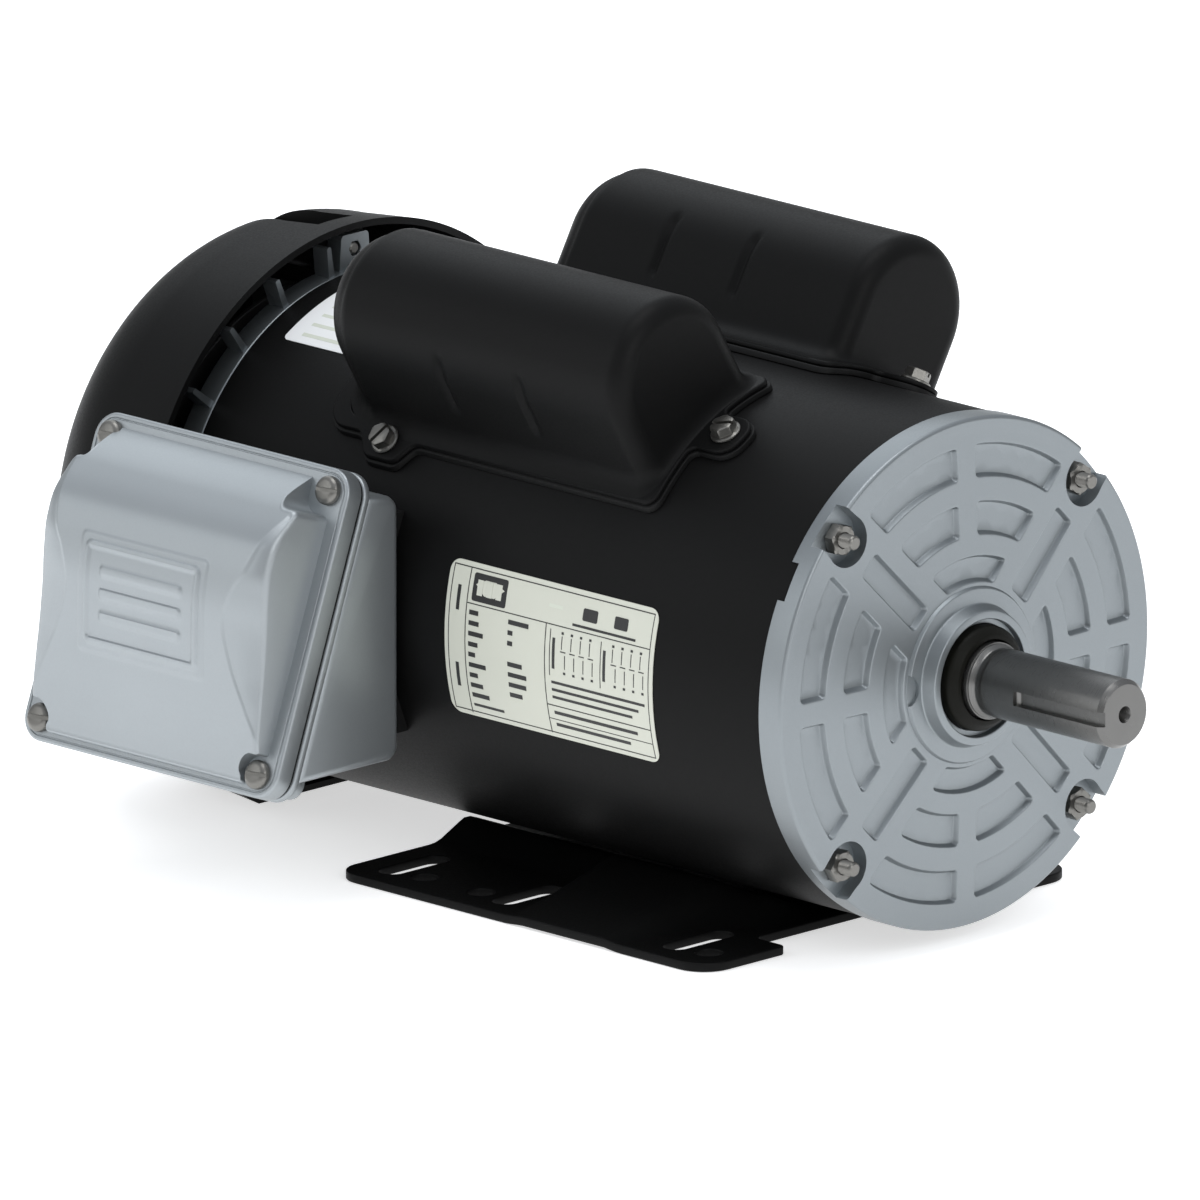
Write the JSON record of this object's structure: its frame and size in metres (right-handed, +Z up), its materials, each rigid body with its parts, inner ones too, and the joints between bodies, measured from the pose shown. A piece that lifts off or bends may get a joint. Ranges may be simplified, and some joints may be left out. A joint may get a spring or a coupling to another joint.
{
  "type": "electric motor",
  "caption": "Foot-mounted, fan-cooled electric motor with a keyed shaft, side terminal box and capacitor covers.",
  "frame": {"origin": "on the underside of the foot, below the shaft axis, at the middle of the foot's length", "axes": "+X along the shaft towards its free end, +Z up, the terminal box on the -Y side"},
  "size_m": [0.4057, 0.2387, 0.2061],
  "materials": {
    "black_paint": "satin",
    "black_plastic": "matte",
    "box_aluminium": "satin",
    "brass": "satin",
    "capacitor_can": "satin",
    "capacitor_case": "matte",
    "cast_aluminium": "satin",
    "copper": "satin",
    "label_cream": "matte",
    "label_white": "matte",
    "lamination": "matte",
    "rubber": "matte",
    "shaft_steel": "satin",
    "steel": "satin",
    "terminal_plastic": "matte"
  },
  "bodies": {
    "frame": {"stator_frame": "black_paint", "foot_base": "black_paint", "drive_endshield": "cast_aluminium", "rear_endshield": "cast_aluminium", "fan_cover": "black_paint", "stator_core": "lamination", "winding_drive_end": "copper", "winding_fan_end": "copper", "tie_bolt_1": "steel", "tie_bolt_2": "steel", "tie_bolt_3": "steel", "tie_bolt_4": "steel", "tie_nut_1": "steel", "tie_nut_2": "steel", "tie_nut_3": "steel", "tie_nut_4": "steel", "drive_bearing_outer": "steel", "fan_bearing_outer": "steel", "preload_spring": "steel", "fan_cover_screw_1": "steel", "fan_cover_screw_2": "steel", "fan_cover_screw_3": "steel", "terminal_box": "box_aluminium", "terminal_box_cover": "box_aluminium", "terminal_cover_gasket": "rubber", "terminal_box_pad": "rubber", "box_cover_screw_1": "steel", "box_cover_screw_2": "steel", "box_cover_screw_3": "steel", "box_cover_screw_4": "steel", "terminal_block": "terminal_plastic", "ground_screw": "brass", "capacitor_cover_left": "black_paint", "capacitor_cover_right": "black_paint", "capacitor_gasket_left": "rubber", "capacitor_gasket_right": "rubber", "capacitor_screw_left_1": "steel", "capacitor_screw_left_2": "steel", "capacitor_screw_right_1": "steel", "capacitor_screw_right_2": "steel", "start_capacitor": "capacitor_case", "run_capacitor": "capacitor_can", "nameplate": "label_cream", "side_label": "label_white", "switch_plate": "terminal_plastic"},
    "rotor": {"shaft": "shaft_steel", "rotor_core": "lamination", "cooling_fan": "black_plastic", "shaft_seal": "rubber", "drive_bearing_inner": "steel", "fan_bearing_inner": "steel", "governor_hub": "steel"},
    "drive_cage": {"drive_ball_cage": "brass"},
    "fan_cage": {"fan_ball_cage": "brass"},
    "collar": {"governor_collar": "black_plastic"},
    "weight_1": {"flyweight_1": "steel"},
    "weight_2": {"flyweight_2": "steel"},
    "contact_arm": {"switch_arm": "brass"}
  },
  "joints": [
    {"name": "rotor_spin", "type": "hinge", "parent": "frame", "child": "rotor", "pos_m": [0.12835, 0, 0.0889], "axis": [1, 0, 0], "continuous": true},
    {"name": "drive_cage_spin", "type": "hinge", "parent": "frame", "child": "drive_cage", "pos_m": [0.10655, 0, 0.0889], "axis": [1, 0, 0], "continuous": true},
    {"name": "fan_cage_spin", "type": "hinge", "parent": "frame", "child": "fan_cage", "pos_m": [-0.15505, 0, 0.0889], "axis": [1, 0, 0], "continuous": true},
    {"name": "collar_slide", "type": "slide", "parent": "rotor", "child": "collar", "axis": [1, 0, 0], "range_m": [0, 0.0035], "stiffness_N_per_m": 800},
    {"name": "weight_swing_1", "type": "hinge", "parent": "rotor", "child": "weight_1", "pos_m": [-0.10965, -0.025, 0.0889], "axis": [0, 0, 1], "range_deg": [0, 20]},
    {"name": "weight_swing_2", "type": "hinge", "parent": "rotor", "child": "weight_2", "pos_m": [-0.10965, 0.025, 0.0889], "axis": [0, 0, 1], "range_deg": [-20, 0]},
    {"name": "contact_arm_tilt", "type": "hinge", "parent": "frame", "child": "contact_arm", "pos_m": [-0.13365, 0, 0.0559], "axis": [0, 1, 0], "range_deg": [0, 12]}
  ],
  "couplings": [
    {"joint": "drive_cage_spin", "follows": "rotor_spin", "ratio": 0.4},
    {"joint": "fan_cage_spin", "follows": "rotor_spin", "ratio": 0.39},
    {"joint": "weight_swing_1", "follows": "collar_slide", "rad_per_m": 95},
    {"joint": "weight_swing_2", "follows": "collar_slide", "rad_per_m": -95},
    {"joint": "contact_arm_tilt", "follows": "collar_slide", "rad_per_m": 55}
  ]
}
